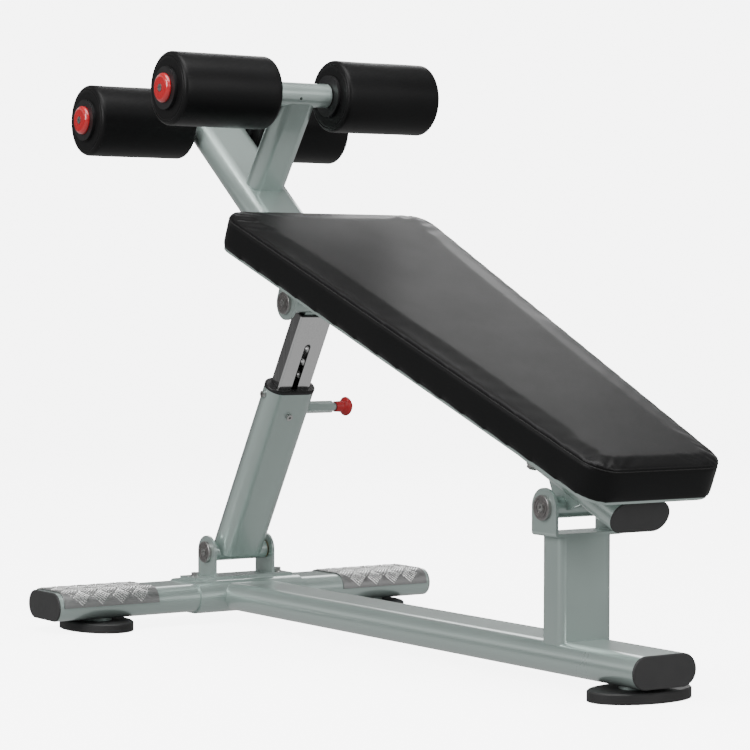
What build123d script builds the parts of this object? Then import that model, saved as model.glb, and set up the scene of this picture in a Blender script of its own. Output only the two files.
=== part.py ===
"""Adjustable decline sit-up bench, modelled as the separate pieces that it is assembled from.

Frame: millimetres, +Z up, origin on the floor under the middle of the bench. The low (head) end of
the pad is toward +X, the leg rollers are toward -X, and Y is the bench's left-right direction.
"""

import os
from math import atan2, cos, degrees, hypot, radians, sin

from build123d import *

# ---- driving dimensions -------------------------------------------------------------------------

# Base frame: a flat-oval beam along X welded into a sleeve that clamps a flat-oval cross tube.
CROSS_X = -534.0  # axis of the cross tube
BEAM_END_X = 685.0  # outer face of the beam's end cap
CROSS_HALF = 394.0  # half the width over the cross tube's end caps
TUBE_W = 120.0
TUBE_H = 50.0
TUBE_WALL = 3.0
BASE_Z = 46.5  # height of the base tubes' axes
SLEEVE_WALL = 4.0
SLEEVE_HALF = 110.0
CAP_FACE = 3.0  # thickness of an end cap outside its tube
CAP_PLUG = 22.0  # length of an end cap inside its tube

# Feet: oval rubber discs, longest across their tube.
FOOT_LONG = 177.0
FOOT_SHORT = 116.0
FOOT_H = 16.0
BEAM_FOOT_X = 626.0
CROSS_FOOT_Y = 290.0
FOOT_BOLT_R = 5.0

# Tread covers on the two arms of the cross tube.
TREAD_START = 196.0
TREAD_END = 384.0
TREAD_T = 2.5

# The three pivots share one design of U bracket, pin, sleeve and cap.
PIVOT_FRONT = (-534.0, 124.0)  # X, Z of the foot of the telescopic post
PIVOT_REAR = (476.0, 274.8)  # X, Z of the seat frame's hinge
PIVOT_UPPER = (-261.0, 580.0)  # X, Z where the post carries the seat frame
BRACKET_HALF = 64.0  # half the width over the ears
PLATE_T = 5.0
BRACKET_BEND = 6.0
EAR_R = 30.0
PIN_R = 8.0
RUN_GAP = 0.05  # radial running clearance of a pin in its bush
BUSH_WALL = 2.0
BUSH_LONG = 25.0
BUSH_FLANGE = 1.0
SLEEVE_R = 17.0
PIVOT_SLEEVE_HALF = 57.0
PIVOT_CAP_R = 19.5
PIVOT_CAP_T = 6.0
OPEN_BORE_R = 14.0  # roomy bore of the upper sleeve round its pin
FRONT_PLATE_HALF = 102.0  # the front bracket's base runs out to its bolts
BRACKET_BOLT_Y = 87.0

# Rear post.
POST_Y = 100.0
POST_X = 50.0
POST_CORNER = 11.0
POST_WALL = 4.0
REAR_BASE_Z = 231.3  # underside of the rear bracket

# Seat frame: a flat-oval tube under the pad that bends up more steeply beyond it.
DECLINE = 23.0  # degrees
SEAT_W = 110.0
SEAT_H = 50.0
SEAT_LOW = (627.5, 267.5)  # X, Z of the middle of the low end, over its cap
SEAT_STRAIGHT = 1028.3  # along the tube from its low end to where the two straight runs would meet
BEND_R = 160.0
ANKLE_AXLE = (-620.8, 907.4)
KNEE_AXLE = (-323.9, 947.1)
BRANCH_FOOT = (-449.7, 770.6)  # the branch's axis meets the tube's axis here
BRANCH_W = 74.0
BRANCH_T = 40.0
GUSSET_T = 6.0
GUSSET_Y = 30.0

# Leg rollers.
AXLE_TUBE_R = 21.2
AXLE_TUBE_HALF = 59.0
SPINDLE_R = 12.5
COLLAR_R = 20.0
ROLLER_IN = 67.0
ROLLER_OUT = 264.0
ROLLER_R = 64.3
ROLLER_ROUND = 9.0
CORE_R = 24.0
HUB_R = 37.0  # washer face of the roller's core
HUB_T = 6.0
RED_CAP_R = 25.6
RED_CAP_H = 8.0
AXLE_HOLE_R = 2.8
AXLE_HOLE_Y = -5.0
AXLE_HOLE_DROP = 24.0  # degrees below level, on the pad's side

# Pad.
PAD_LOW = (684.0, 342.0)  # X, Z of the low end's top edge line
PAD_LONG = 1006.0
PAD_LOW_HALF = 123.0
PAD_HIGH_HALF = 213.5
PAD_BODY = 52.0  # from that edge line down to the board
PAD_CROWN = 7.0  # rounded edge above that line
PAD_CORNER = 46.0
BOARD_T = 4.0
BOARD_INSET = 4.0
BAR_HALF_Y = 92.0
BAR_LONG = 50.0
PAD_BOLT_Y = 27.0
PAD_BOLT_S = (235.0, 790.0)  # along the seat tube from its low end
PAD_BOLT_R = 5.0

# Telescopic post: distances S run along its axis from the front pivot.
OUTER_W = 97.0
OUTER_T = 50.0
OUTER_WALL = 3.0
OUTER_TOP = 356.0
COLLAR_FLANGE = 6.0
COLLAR_LONG = 34.0
INNER_W = 66.0
INNER_T = 30.0
INNER_CORNER = 3.4
INNER_WALL = 3.0
INNER_LOW = 200.0
INNER_TOP = 511.0
SLOT_LOW = 262.0
SLOT_HIGH = 455.0
SLOT_W = 12.0
GUIDE_SCREW_S = 310.0
GUIDE_SCREW_R = 4.0
COLLAR_SCREW_S = 343.0
PULL_PIN_S = 312.3
HOLE_PITCH = 27.0
HOLES_BELOW = 1
HOLES_ABOVE = 5
LOCK_HOLE_R = 5.6
PLUNGER_R = 5.0
PLUNGER_CLEAR = 1.0  # gap from the plunger's tip to the inner tube when it is drawn back
BARREL_R = 11.0
BARREL_END = 110.0
NECK_R = 7.4
NECK_LONG = 6.0
KNOB_END = 144.5

# Hexagon-headed and socket-headed screws.
M8_R = 4.0
M8_HEAD_R = 7.5
M10_HEAD_R = 9.2

# ---- directions and frames ----------------------------------------------------------------------

Y_DIR = (0, 1, 0)
BASE_BOTTOM = BASE_Z - TUBE_H / 2
BASE_TOP = BASE_Z + TUBE_H / 2
DECLINE_RAD = radians(DECLINE)
UPHILL = Vector(-cos(DECLINE_RAD), 0, sin(DECLINE_RAD))
PAD_NORMAL = Vector(sin(DECLINE_RAD), 0, cos(DECLINE_RAD))
POST_LONG = hypot(PIVOT_UPPER[0] - PIVOT_FRONT[0], PIVOT_UPPER[1] - PIVOT_FRONT[1])
POST_LEAN = atan2(PIVOT_UPPER[0] - PIVOT_FRONT[0], PIVOT_UPPER[1] - PIVOT_FRONT[1])
POST_DIR = Vector(sin(POST_LEAN), 0, cos(POST_LEAN))
POST_FRONT = Vector(cos(POST_LEAN), 0, -sin(POST_LEAN))
SIDES = (-1, 1)


def at(xz, y=0.0):
    """The point above the floor at an (X, Z) pair."""
    return Vector(xz[0], y, xz[1])


def post_point(s, y=0.0, forward=0.0):
    """A point on the telescopic post: s along its axis, forward toward its front face."""
    return at(PIVOT_FRONT, y) + POST_DIR * s + POST_FRONT * forward


def seat_point(s, y=0.0, up=0.0):
    """A point on the seat tube: s uphill from its low end, up along the pad's normal."""
    return at(SEAT_LOW, y) + UPHILL * s + PAD_NORMAL * up


# ---- shared shapes ------------------------------------------------------------------------------


def along(start, direction):
    """A sketch plane whose own X is the bench's Y and whose normal is the given direction."""
    return Plane(origin=start, x_dir=Y_DIR, z_dir=direction)


def oval_bar(start, direction, long, width, thick):
    """A solid flat-oval bar, its width along Y unless it runs along Y itself."""
    return extrude(along(start, direction) * SlotOverall(width, thick), long)


def oval_tube(start, direction, long, width, thick, wall):
    bore = oval_bar(start, direction, long, width - 2 * wall, thick - 2 * wall)
    return oval_bar(start, direction, long, width, thick) - bore


def rod_y(xz, y0, y1, radius):
    """A round rod along Y between two Y values."""
    low = min(y0, y1)
    return extrude(Plane(origin=at(xz, low), x_dir=(1, 0, 0), z_dir=Y_DIR) * Circle(radius), abs(y1 - y0))


def ring_y(xz, y0, y1, outer, inner):
    return rod_y(xz, y0, y1, outer) - rod_y(xz, y0, y1, inner)


def rod(start, direction, long, radius):
    return extrude(Plane(origin=start, z_dir=direction) * Circle(radius), long)


def hexagon(start, direction, long, radius):
    """A hexagonal prism, radius to its corners."""
    return extrude(Plane(origin=start, z_dir=direction) * RegularPolygon(radius, 6), long)


def cross_bar(y0, y1, width, thick):
    """A solid flat-oval bar along Y on the cross tube's axis."""
    plane = Plane(origin=(CROSS_X, y0, BASE_Z), x_dir=(1, 0, 0), z_dir=Y_DIR)
    return extrude(plane * SlotOverall(width, thick), y1 - y0)


def round_rim(solid, direction, radius):
    """Rounds the rim of the face that lies furthest along a direction."""
    face = solid.faces().sort_by(Axis((0, 0, 0), direction))[-1]
    return fillet(face.edges(), radius)


def cap_plug(start, direction, width, thick, wall):
    """A tube end cap: a rounded face plate with a hollow plug that grips inside the tube."""
    face = round_rim(oval_bar(start, direction, CAP_FACE, width, thick), direction, CAP_FACE * 0.6)
    back = start - direction * CAP_PLUG
    plug = oval_tube(back, direction, CAP_PLUG, width - 2 * wall, thick - 2 * wall, 2.5)
    return face + plug


# ---- base ---------------------------------------------------------------------------------------


def foot_spots():
    """Centre of each foot on the floor, and whether its tube runs along X."""
    spots = [(Vector(BEAM_FOOT_X, 0, 0), True)]
    for side in SIDES:
        spots.append((Vector(CROSS_X, side * CROSS_FOOT_Y, 0), False))
    return spots


def drill_foot_holes(tube):
    for spot, _ in foot_spots():
        tube -= rod(spot + Vector(0, 0, BASE_BOTTOM - 1), (0, 0, 1), TUBE_WALL + 2, FOOT_BOLT_R)
    return tube


def bracket_bolt_spots():
    return [Vector(CROSS_X, side * BRACKET_BOLT_Y, 0) for side in SIDES]


def make_base_beam():
    start = Vector(CROSS_X, 0, BASE_Z)
    long = BEAM_END_X - CAP_FACE - CROSS_X
    beam = oval_tube(start, Vector(1, 0, 0), long, TUBE_W, TUBE_H, TUBE_WALL)
    beam -= cross_bar(-SLEEVE_HALF, SLEEVE_HALF, TUBE_W + 2 * SLEEVE_WALL, TUBE_H + 2 * SLEEVE_WALL)
    return drill_foot_holes(beam)


def make_cross_tube():
    half = CROSS_HALF - CAP_FACE
    tube = cross_bar(-half, half, TUBE_W, TUBE_H)
    tube -= cross_bar(-half, half, TUBE_W - 2 * TUBE_WALL, TUBE_H - 2 * TUBE_WALL)
    for spot in bracket_bolt_spots():
        tube -= rod(spot + Vector(0, 0, BASE_TOP - 2 * TUBE_WALL), (0, 0, 1), 12, M8_R)
    return drill_foot_holes(tube)


def make_tee_sleeve():
    sleeve = cross_bar(-SLEEVE_HALF, SLEEVE_HALF, TUBE_W + 2 * SLEEVE_WALL, TUBE_H + 2 * SLEEVE_WALL)
    sleeve -= cross_bar(-SLEEVE_HALF, SLEEVE_HALF, TUBE_W, TUBE_H)
    for spot in bracket_bolt_spots():
        sleeve -= rod(spot + Vector(0, 0, BASE_TOP - 1), (0, 0, 1), 8, M8_R)
    return sleeve


def make_base_end_caps():
    beam_end = Vector(BEAM_END_X - CAP_FACE, 0, BASE_Z)
    caps = [cap_plug(beam_end, Vector(1, 0, 0), TUBE_W, TUBE_H, TUBE_WALL)]
    for side in SIDES:
        face_y = side * (CROSS_HALF - CAP_FACE)
        plane = Plane(origin=(CROSS_X, face_y, BASE_Z), x_dir=(1, 0, 0), z_dir=(0, side, 0))
        face = round_rim(extrude(plane * SlotOverall(TUBE_W, TUBE_H), CAP_FACE), (0, side, 0), CAP_FACE * 0.6)
        inner_w = TUBE_W - 2 * TUBE_WALL
        inner_h = TUBE_H - 2 * TUBE_WALL
        section = SlotOverall(inner_w, inner_h) - SlotOverall(inner_w - 5, inner_h - 5)
        caps.append(face + extrude(plane * section, -CAP_PLUG))
    return caps


def make_feet():
    feet = []
    for spot, tube_along_x in foot_spots():
        x_radius = FOOT_SHORT / 2 if tube_along_x else FOOT_LONG / 2
        y_radius = FOOT_LONG / 2 if tube_along_x else FOOT_SHORT / 2
        foot = extrude(Plane(origin=spot) * Ellipse(x_radius, y_radius), FOOT_H)
        foot = chamfer(foot.faces().sort_by(Axis.Z)[-1].edges(), 2)
        foot -= rod(spot, (0, 0, 1), 9, M10_HEAD_R + 1.5)
        foot -= rod(spot, (0, 0, 1), FOOT_H, FOOT_BOLT_R)
        feet.append(foot)
    return feet


def make_foot_plates():
    """Welded oval plates that level the feet under the tubes."""
    plates = []
    for spot, tube_along_x in foot_spots():
        x_long = 52.0 if tube_along_x else 66.0
        y_long = 66.0 if tube_along_x else 52.0
        plane = Plane(origin=spot + Vector(0, 0, FOOT_H))
        plate = extrude(plane * Ellipse(x_long / 2, y_long / 2), BASE_BOTTOM - FOOT_H)
        plates.append(plate - rod(spot, (0, 0, 1), BASE_BOTTOM, FOOT_BOLT_R))
    return plates


def make_foot_bolts():
    bolts = []
    for spot, _ in foot_spots():
        head = hexagon(spot + Vector(0, 0, 3), (0, 0, 1), 6, M10_HEAD_R)
        bolts.append(head + rod(spot + Vector(0, 0, 9), (0, 0, 1), 27, FOOT_BOLT_R))
    return bolts


def make_foot_nuts():
    nuts = []
    for spot, _ in foot_spots():
        low = spot + Vector(0, 0, BASE_BOTTOM + TUBE_WALL)
        nuts.append(hexagon(low, (0, 0, 1), 8, M10_HEAD_R) - rod(low, (0, 0, 1), 8, FOOT_BOLT_R))
    return nuts


def make_tread_plates():
    """Sheet covers bent over the top half of each arm."""
    long = TREAD_END - TREAD_START
    upper_half = Pos(CROSS_X, 0, BASE_Z + TUBE_H) * Box(200, 3 * TREAD_END, 2 * TUBE_H)
    plates = []
    for side in SIDES:
        low = TREAD_START if side > 0 else -TREAD_END
        skin = cross_bar(low, low + long, TUBE_W + 2 * TREAD_T, TUBE_H + 2 * TREAD_T)
        skin -= cross_bar(low, low + long, TUBE_W, TUBE_H)
        plates.append(skin & upper_half)
    return plates


def ear(centre, foot_dir, reach, y_side):
    """One bracket ear: a round head at the pivot and straight sides down to the base plate."""
    across = Vector(foot_dir.Z, 0, -foot_dir.X)
    y_low = BRACKET_HALF - PLATE_T if y_side > 0 else -BRACKET_HALF
    start = at(centre, y_low)
    plane = Plane(origin=start, x_dir=across, z_dir=Y_DIR)
    # The plane's own Y is foot_dir or its opposite, so the web is placed by its world position.
    head = extrude(plane * Circle(EAR_R), PLATE_T)
    web_plane = Plane(origin=start + foot_dir * (reach / 2), x_dir=across, z_dir=Y_DIR)
    web = extrude(web_plane * Rectangle(2 * EAR_R, reach), PLATE_T)
    return head + web


def outer_bends(bracket, underside, foot_dir):
    """The two edges where the ears of a U bracket turn into its base plate, on the outside."""
    bends = []
    for edge in bracket.edges():
        middle = edge.center()
        at_side = abs(abs(middle.Y) - BRACKET_HALF) < 0.01
        if at_side and abs((middle - underside).dot(foot_dir)) < 0.01:
            bends.append(edge)
    return bends


def u_bracket(centre, foot_dir, drop, base_half=BRACKET_HALF):
    """A U bracket: base plate at the given drop from the pivot, and an ear on each side."""
    base_mid = at(centre) + foot_dir * (drop - PLATE_T)
    plane = Plane(origin=base_mid, x_dir=Y_DIR, z_dir=foot_dir)
    bracket = extrude(plane * Rectangle(2 * base_half, 2 * EAR_R), PLATE_T)
    for side in SIDES:
        bracket += ear(centre, foot_dir, drop - PLATE_T, side)
    if base_half == BRACKET_HALF:
        bracket = fillet(outer_bends(bracket, at(centre) + foot_dir * drop, foot_dir), BRACKET_BEND)
    bracket -= rod_y(centre, -BRACKET_HALF - 1, BRACKET_HALF + 1, PIN_R)
    return bracket


def make_front_pivot_bracket():
    drop = PIVOT_FRONT[1] - BASE_TOP - SLEEVE_WALL
    bracket = u_bracket(PIVOT_FRONT, Vector(0, 0, -1), drop, FRONT_PLATE_HALF)
    for spot in bracket_bolt_spots():
        bracket -= rod(spot + Vector(0, 0, BASE_TOP), (0, 0, 1), 20, M8_R)
    return bracket


def make_front_bracket_bolts():
    seat_z = BASE_TOP + SLEEVE_WALL + PLATE_T
    bolts = []
    for spot in bracket_bolt_spots():
        washer = rod(spot + Vector(0, 0, seat_z), (0, 0, 1), 1.6, M8_HEAD_R + 1.5)
        head = hexagon(spot + Vector(0, 0, seat_z + 1.6), (0, 0, 1), 6, M8_HEAD_R)
        shank = rod(spot + Vector(0, 0, BASE_TOP - 12), (0, 0, 1), seat_z - BASE_TOP + 12, M8_R)
        bolts.append(washer + head + shank)
    return bolts


def make_rear_post():
    start_z = BASE_Z + 10
    plane = Plane(origin=(PIVOT_REAR[0], 0, start_z))
    section = RectangleRounded(POST_X, POST_Y, POST_CORNER)
    section -= RectangleRounded(POST_X - 2 * POST_WALL, POST_Y - 2 * POST_WALL, POST_CORNER - POST_WALL)
    post = extrude(plane * section, REAR_BASE_Z - start_z)
    return post - oval_bar(Vector(PIVOT_REAR[0] - 60, 0, BASE_Z), Vector(1, 0, 0), 120, TUBE_W, TUBE_H)


def make_rear_pivot_bracket():
    return u_bracket(PIVOT_REAR, Vector(0, 0, -1), PIVOT_REAR[1] - REAR_BASE_Z)


# ---- pivots -------------------------------------------------------------------------------------


def pivot_pin(centre):
    return rod_y(centre, -BRACKET_HALF, BRACKET_HALF, PIN_R)


def pivot_caps(centre):
    """Turned discs over the pin's ends, with two shallow ring grooves on the outer face."""
    caps = []
    for side in SIDES:
        outer_y = side * (BRACKET_HALF + PIVOT_CAP_T)
        cap = rod_y(centre, side * BRACKET_HALF, outer_y, PIVOT_CAP_R)
        cap = round_rim(cap, (0, side, 0), 1.2)
        for groove_r in (15.0, 10.5):
            cap -= ring_y(centre, outer_y - side * 1.0, outer_y, groove_r, groove_r - 1.4)
        cap -= rod_y(centre, side * BRACKET_HALF, outer_y, M8_R)
        cap -= rod_y(centre, outer_y - side * 2.5, outer_y, M8_HEAD_R - 0.5)
        caps.append(cap)
    return caps


def pivot_screws(centre):
    """Socket screws that hold the caps: head in the cap, hexagon socket outward."""
    screws = []
    for side in SIDES:
        outer_y = side * (BRACKET_HALF + PIVOT_CAP_T)
        head_y = outer_y - side * 2.5
        screw = rod_y(centre, head_y, outer_y + side * 1.0, M8_HEAD_R - 1.0)
        screw += rod_y(centre, side * BRACKET_HALF, head_y, M8_R)
        screw -= hexagon(at(centre, outer_y + side * 1.0), (0, -side, 0), 2.5, 3.5)
        screws.append(screw)
    return screws


def pivot_sleeve(centre, bore):
    return ring_y(centre, -PIVOT_SLEEVE_HALF, PIVOT_SLEEVE_HALF, SLEEVE_R, bore)


def pivot_bushes(centre):
    """Flanged plain bushes in both ends of a sleeve, running on the pin."""
    bore = PIN_R + RUN_GAP
    bushes = []
    for side in SIDES:
        end_y = side * PIVOT_SLEEVE_HALF
        bush = ring_y(centre, end_y - side * BUSH_LONG, end_y, bore + BUSH_WALL, bore)
        bushes.append(bush + ring_y(centre, end_y, end_y + side * BUSH_FLANGE, SLEEVE_R, bore))
    return bushes


# ---- seat frame ---------------------------------------------------------------------------------


def seat_path():
    bend = seat_point(SEAT_STRAIGHT)
    end_dir = (at(ANKLE_AXLE) - bend).normalized()
    return FilletPolyline(seat_point(CAP_FACE), bend, at(ANKLE_AXLE) - end_dir * 6, radius=BEND_R)


def seat_bar(width, thick):
    return sweep(along(seat_point(CAP_FACE), UPHILL) * SlotOverall(width, thick), path=seat_path())


def pad_bolt_spots():
    return [seat_point(s, side * PAD_BOLT_Y) for s in PAD_BOLT_S for side in SIDES]


def make_seat_tube():
    tube = seat_bar(SEAT_W, SEAT_H) - seat_bar(SEAT_W - 2 * TUBE_WALL, SEAT_H - 2 * TUBE_WALL)
    tube -= rod_y(ANKLE_AXLE, -SEAT_W, SEAT_W, AXLE_TUBE_R)
    for spot in pad_bolt_spots():
        tube -= rod(spot - PAD_NORMAL * SEAT_H, PAD_NORMAL, 2 * SEAT_H, PAD_BOLT_R)
    return tube


def make_seat_end_cap():
    return cap_plug(seat_point(CAP_FACE), UPHILL * -1, SEAT_W, SEAT_H, TUBE_WALL)


def make_seat_gussets():
    """Plates that hang the hinge sleeve under the seat tube."""
    pivot = at(PIVOT_REAR)
    s_pivot = (pivot - at(SEAT_LOW)).dot(UPHILL)
    plates = []
    for side in SIDES:
        y = side * GUSSET_Y - GUSSET_T / 2
        corners = [
            seat_point(s_pivot - 44, y, -SEAT_H / 2),
            seat_point(s_pivot + 44, y, -SEAT_H / 2),
            at(PIVOT_REAR, y) + UPHILL * 14,
            at(PIVOT_REAR, y) - UPHILL * 14,
        ]
        face = make_face(Polyline(*corners, close=True))
        plate = extrude(face, GUSSET_T, dir=Y_DIR)
        plates.append(plate - rod_y(PIVOT_REAR, -PIVOT_SLEEVE_HALF, PIVOT_SLEEVE_HALF, SLEEVE_R))
    return plates


def make_upper_pivot_bracket():
    gap = (at(SEAT_LOW) - at(PIVOT_UPPER)).dot(PAD_NORMAL)
    return u_bracket(PIVOT_UPPER, PAD_NORMAL, gap - SEAT_H / 2)


def make_knee_branch():
    foot = at(BRANCH_FOOT)
    reach = at(KNEE_AXLE) - foot
    branch = oval_tube(foot, reach.normalized(), reach.length, BRANCH_W, BRANCH_T, TUBE_WALL)
    return branch - seat_bar(SEAT_W, SEAT_H) - rod_y(KNEE_AXLE, -SEAT_W, SEAT_W, AXLE_TUBE_R)


def make_axle_tubes():
    tubes = [ring_y(xz, -AXLE_TUBE_HALF, AXLE_TUBE_HALF, AXLE_TUBE_R, SPINDLE_R) for xz in (KNEE_AXLE, ANKLE_AXLE)]
    drop = radians(AXLE_HOLE_DROP)
    vent = rod(at(KNEE_AXLE, AXLE_HOLE_Y), (cos(drop), 0, -sin(drop)), AXLE_TUBE_R + 1, AXLE_HOLE_R)
    return [tubes[0] - vent, tubes[1]]


def make_roller_spindles():
    half = ROLLER_OUT + HUB_T
    return [rod_y(xz, -half, half, SPINDLE_R) for xz in (KNEE_AXLE, ANKLE_AXLE)]


def roller_ends():
    return [(xz, side) for xz in (KNEE_AXLE, ANKLE_AXLE) for side in SIDES]


def make_roller_collars():
    """Thrust rings between the ends of the axle tubes and the rollers."""
    collars = []
    for xz, side in roller_ends():
        outer = side * (ROLLER_IN - HUB_T - 0.5)
        collars.append(ring_y(xz, side * AXLE_TUBE_HALF, outer, COLLAR_R, SPINDLE_R))
    return collars


def make_roller_end_caps():
    """Domed red caps that keep the rollers on their spindles."""
    caps = []
    for xz, side in roller_ends():
        low = side * (ROLLER_OUT + HUB_T + 0.5)
        cap = rod_y(xz, low, low + side * RED_CAP_H, RED_CAP_R)
        cap = round_rim(cap, (0, side, 0), 7)
        cap -= rod_y(xz, low, side * (ROLLER_OUT + HUB_T), SPINDLE_R)
        cap -= rod_y(xz, low, low + side * RED_CAP_H, M8_R)
        cap -= rod_y(xz, low + side * (RED_CAP_H - 3), low + side * RED_CAP_H, M8_HEAD_R - 0.5)
        caps.append(cap)
    return caps


def make_roller_cap_screws():
    screws = []
    for xz, side in roller_ends():
        low = side * (ROLLER_OUT + HUB_T + 0.5)
        head_y = low + side * (RED_CAP_H - 3)
        screw = rod_y(xz, low, head_y, M8_R)
        screw += rod_y(xz, head_y, head_y + side * 3.5, M8_HEAD_R - 1.0)
        screw -= hexagon(at(xz, head_y + side * 3.5), (0, -side, 0), 3.0, 3.4)
        screws.append(screw)
    return screws


# ---- rollers ------------------------------------------------------------------------------------


def roller_foam(xz, side):
    foam = rod_y(xz, side * ROLLER_IN, side * ROLLER_OUT, ROLLER_R)
    rims = foam.edges().filter_by(GeomType.CIRCLE)
    return fillet(rims, ROLLER_ROUND) - rod_y(xz, side * ROLLER_IN, side * ROLLER_OUT, CORE_R)


def roller_core(xz, side):
    """Plastic core tube with a washer face at each end, turning on the spindle."""
    bore = SPINDLE_R + RUN_GAP
    core = ring_y(xz, side * ROLLER_IN, side * ROLLER_OUT, CORE_R, bore)
    core += ring_y(xz, side * (ROLLER_IN - HUB_T), side * ROLLER_IN, HUB_R, bore)
    outer = ring_y(xz, side * ROLLER_OUT, side * (ROLLER_OUT + HUB_T), HUB_R, bore)
    return core + outer


# ---- pad ----------------------------------------------------------------------------------------


def pad_plane(depth):
    """Sketch plane of the pad: own X uphill, origin under the low end's edge line."""
    origin = at(PAD_LOW) - PAD_NORMAL * depth
    return Plane(origin=origin, x_dir=UPHILL, z_dir=PAD_NORMAL)


def pad_outline(inset):
    low = PAD_LOW_HALF - inset
    high = PAD_HIGH_HALF - inset
    corners = [(inset, -low), (PAD_LONG - inset, -high), (PAD_LONG - inset, high), (inset, low)]
    outline = make_face(Polyline(*corners, close=True))
    return fillet(outline.vertices(), PAD_CORNER - inset)


def make_pad_cushion():
    cushion = extrude(pad_plane(PAD_BODY) * pad_outline(0), PAD_BODY + PAD_CROWN)
    top = cushion.faces().sort_by(Axis((0, 0, 0), PAD_NORMAL))[-1]
    return fillet(top.edges(), PAD_CROWN)


def make_pad_board():
    board = extrude(pad_plane(PAD_BODY + BOARD_T) * pad_outline(BOARD_INSET), BOARD_T)
    for spot in pad_bolt_spots():
        board -= rod(spot, PAD_NORMAL, 200, PAD_BOLT_R)
    return board


def board_height():
    """From the seat tube's axis up to the underside of the pad board."""
    return (at(PAD_LOW) - at(SEAT_LOW)).dot(PAD_NORMAL) - PAD_BODY - BOARD_T


def make_pad_bars():
    """Cross bars that space the pad board off the seat tube."""
    thick = board_height() - SEAT_H / 2
    bars = []
    for s in PAD_BOLT_S:
        plane = Plane(origin=seat_point(s, 0, SEAT_H / 2), x_dir=UPHILL, z_dir=PAD_NORMAL)
        bar = extrude(plane * RectangleRounded(BAR_LONG, 2 * BAR_HALF_Y, 6), thick)
        for side in SIDES:
            bar -= rod(seat_point(s, side * PAD_BOLT_Y), PAD_NORMAL, 100, PAD_BOLT_R)
        bars.append(bar)
    return bars


def make_pad_bolts():
    """Long bolts up through the seat tube and the cross bars into the pad board."""
    bolts = []
    for spot in pad_bolt_spots():
        seat = spot - PAD_NORMAL * (SEAT_H / 2)
        down = PAD_NORMAL * -1
        washer = rod(seat, down, 1.8, M10_HEAD_R + 1.8)
        head = hexagon(seat + down * 1.8, down, 6.5, M10_HEAD_R)
        shank = rod(seat, PAD_NORMAL, SEAT_H / 2 + board_height() + BOARD_T, PAD_BOLT_R)
        bolts.append(washer + head + shank)
    return bolts


# ---- telescopic post ----------------------------------------------------------------------------


def make_outer_post():
    tube = oval_tube(post_point(0), POST_DIR, OUTER_TOP, OUTER_W, OUTER_T, OUTER_WALL)
    tube -= rod_y(PIVOT_FRONT, -OUTER_W, OUTER_W, SLEEVE_R)
    # What is left below the sleeve is cut away, so the tube ends on its upper half.
    tube -= extrude(along(post_point(0), POST_DIR) * Rectangle(2 * OUTER_W, 2 * OUTER_T), 5)
    tube -= rod(post_point(GUIDE_SCREW_S), POST_FRONT, OUTER_T, GUIDE_SCREW_R)
    tube -= rod(post_point(COLLAR_SCREW_S), (0, -1, 0), OUTER_W, GUIDE_SCREW_R)
    return tube - rod(post_point(PULL_PIN_S), Y_DIR, OUTER_W, PLUNGER_R + RUN_GAP)


def inner_slot(gap, start, long):
    """The rectangular space that the inner tube slides in."""
    section = RectangleRounded(INNER_W + 2 * gap, INNER_T + 2 * gap, INNER_CORNER + gap)
    return extrude(along(post_point(start), POST_DIR) * section, long)


def make_guide_collar():
    flange = oval_bar(post_point(OUTER_TOP), POST_DIR, COLLAR_FLANGE, OUTER_W + 1, OUTER_T + 1)
    flange = round_rim(flange, POST_DIR, 2.5)
    start = OUTER_TOP - COLLAR_LONG
    inner_w = OUTER_W - 2 * OUTER_WALL
    plug = oval_bar(post_point(start), POST_DIR, COLLAR_LONG, inner_w, OUTER_T - 2 * OUTER_WALL)
    collar = flange + plug - inner_slot(0.4, start, COLLAR_LONG + COLLAR_FLANGE)
    return collar - rod(post_point(COLLAR_SCREW_S), (0, -1, 0), OUTER_W, GUIDE_SCREW_R)


def socket_screw(start, direction, long):
    """A socket screw: start is under its head, direction points outward."""
    direction = Vector(*direction)
    screw = rod(start, direction, 5, GUIDE_SCREW_R + 2) + rod(start - direction * long, direction, long, GUIDE_SCREW_R)
    return screw - hexagon(start + direction * 5, direction * -1, 3, 2.6)


def make_post_screws():
    """One screw runs in the inner tube's slot, and one holds the guide collar."""
    guide = socket_screw(post_point(GUIDE_SCREW_S, 0, OUTER_T / 2), POST_FRONT, OUTER_T / 2 - INNER_T / 2 + 2)
    collar = socket_screw(post_point(COLLAR_SCREW_S, -OUTER_W / 2), (0, -1, 0), 11)
    return [guide, collar]


def make_pin_barrel():
    """Hexagonal barrel on the post's side, bored for the plunger and its spring."""
    start = post_point(PULL_PIN_S, OUTER_W / 2 - 6)
    barrel = hexagon(start, Y_DIR, BARREL_END - NECK_LONG - start.Y, BARREL_R)
    barrel += rod(post_point(PULL_PIN_S, BARREL_END - NECK_LONG), Y_DIR, NECK_LONG, NECK_R)
    barrel -= make_outer_envelope()
    barrel -= rod(post_point(PULL_PIN_S, 0), Y_DIR, BARREL_END, PLUNGER_R + RUN_GAP)
    return barrel - rod(post_point(PULL_PIN_S, 62), Y_DIR, 40, 8.0)


def make_outer_envelope():
    return oval_bar(post_point(0), POST_DIR, OUTER_TOP, OUTER_W, OUTER_T)


def make_plunger_spring():
    """The plunger's return spring, drawn fully pressed at the outer end of the barrel."""
    path = Plane(origin=post_point(PULL_PIN_S, 81.0), x_dir=(0, 0, 1), z_dir=Y_DIR) * Helix(2.5, 20.0, 6.5)
    section = Plane(origin=path @ 0, z_dir=path % 0) * Circle(0.7)
    return sweep(section, path=path, is_frenet=True)


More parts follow.
